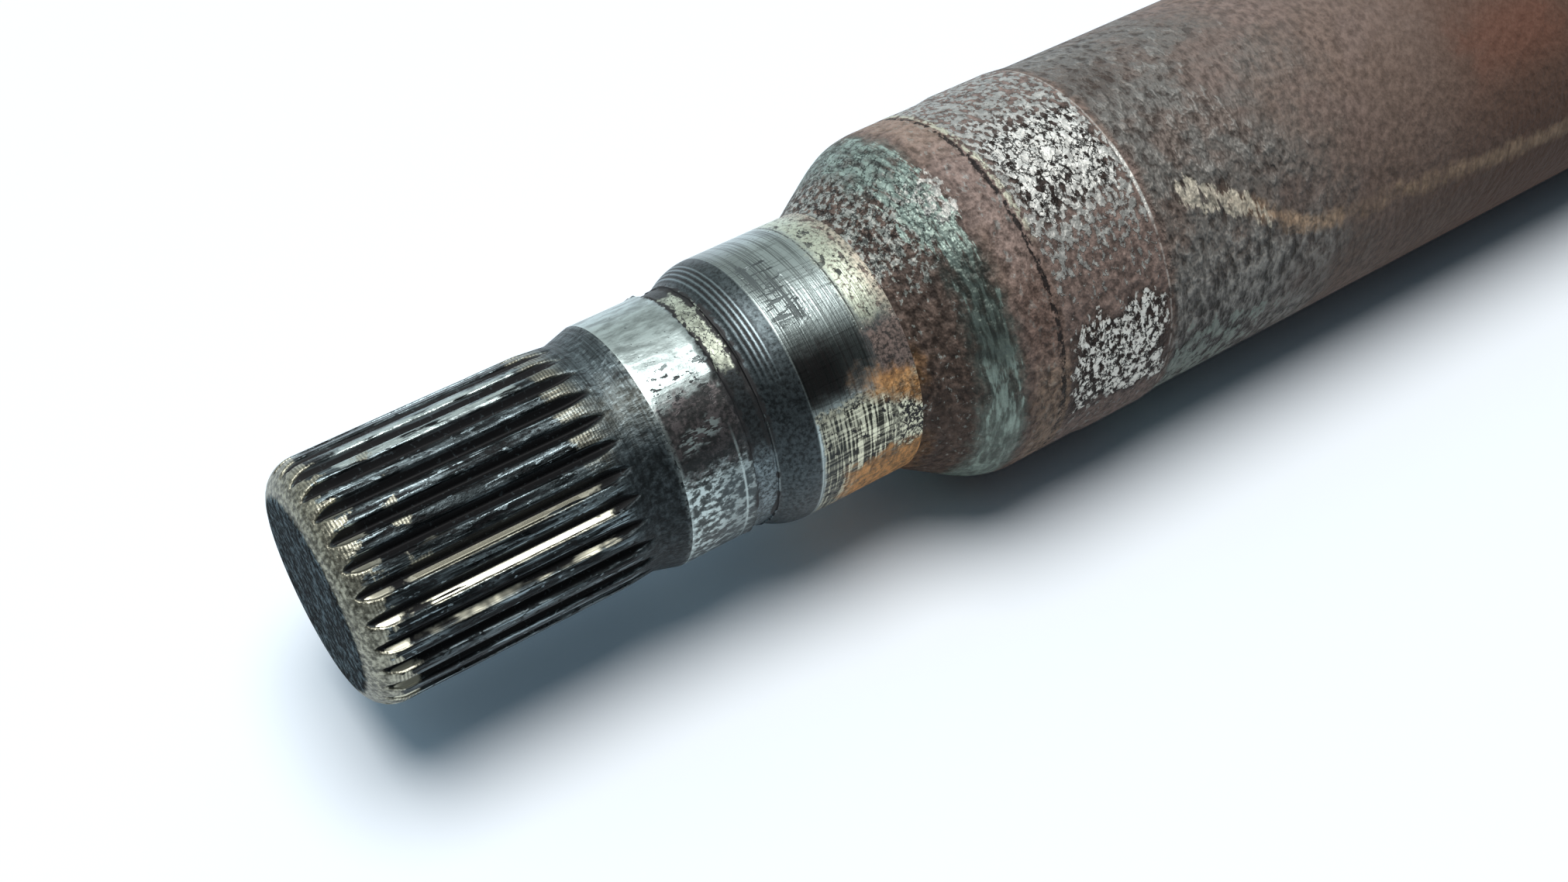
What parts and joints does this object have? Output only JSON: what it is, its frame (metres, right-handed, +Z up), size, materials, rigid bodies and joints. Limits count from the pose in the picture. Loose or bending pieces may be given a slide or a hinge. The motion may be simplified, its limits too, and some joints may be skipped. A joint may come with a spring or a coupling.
{
  "type": "axle shaft",
  "caption": "One-piece steel axle shaft with a spline, bearing seat, seal track, conical shoulder and dust-ring collar at each end of a rusty round body.",
  "frame": {"origin": "mid-length of the shaft, on its axis", "axes": "+X along the shaft, away from the end that the picture shows; +Z up as it lies in the picture"},
  "size_m": [0.4, 0.0452, 0.0452],
  "materials": {
    "worn_steel": "ground and worn at the ends, rusty on the body"
  },
  "bodies": {
    "root": {"axle_shaft": "worn_steel"}
  },
  "joints": []
}
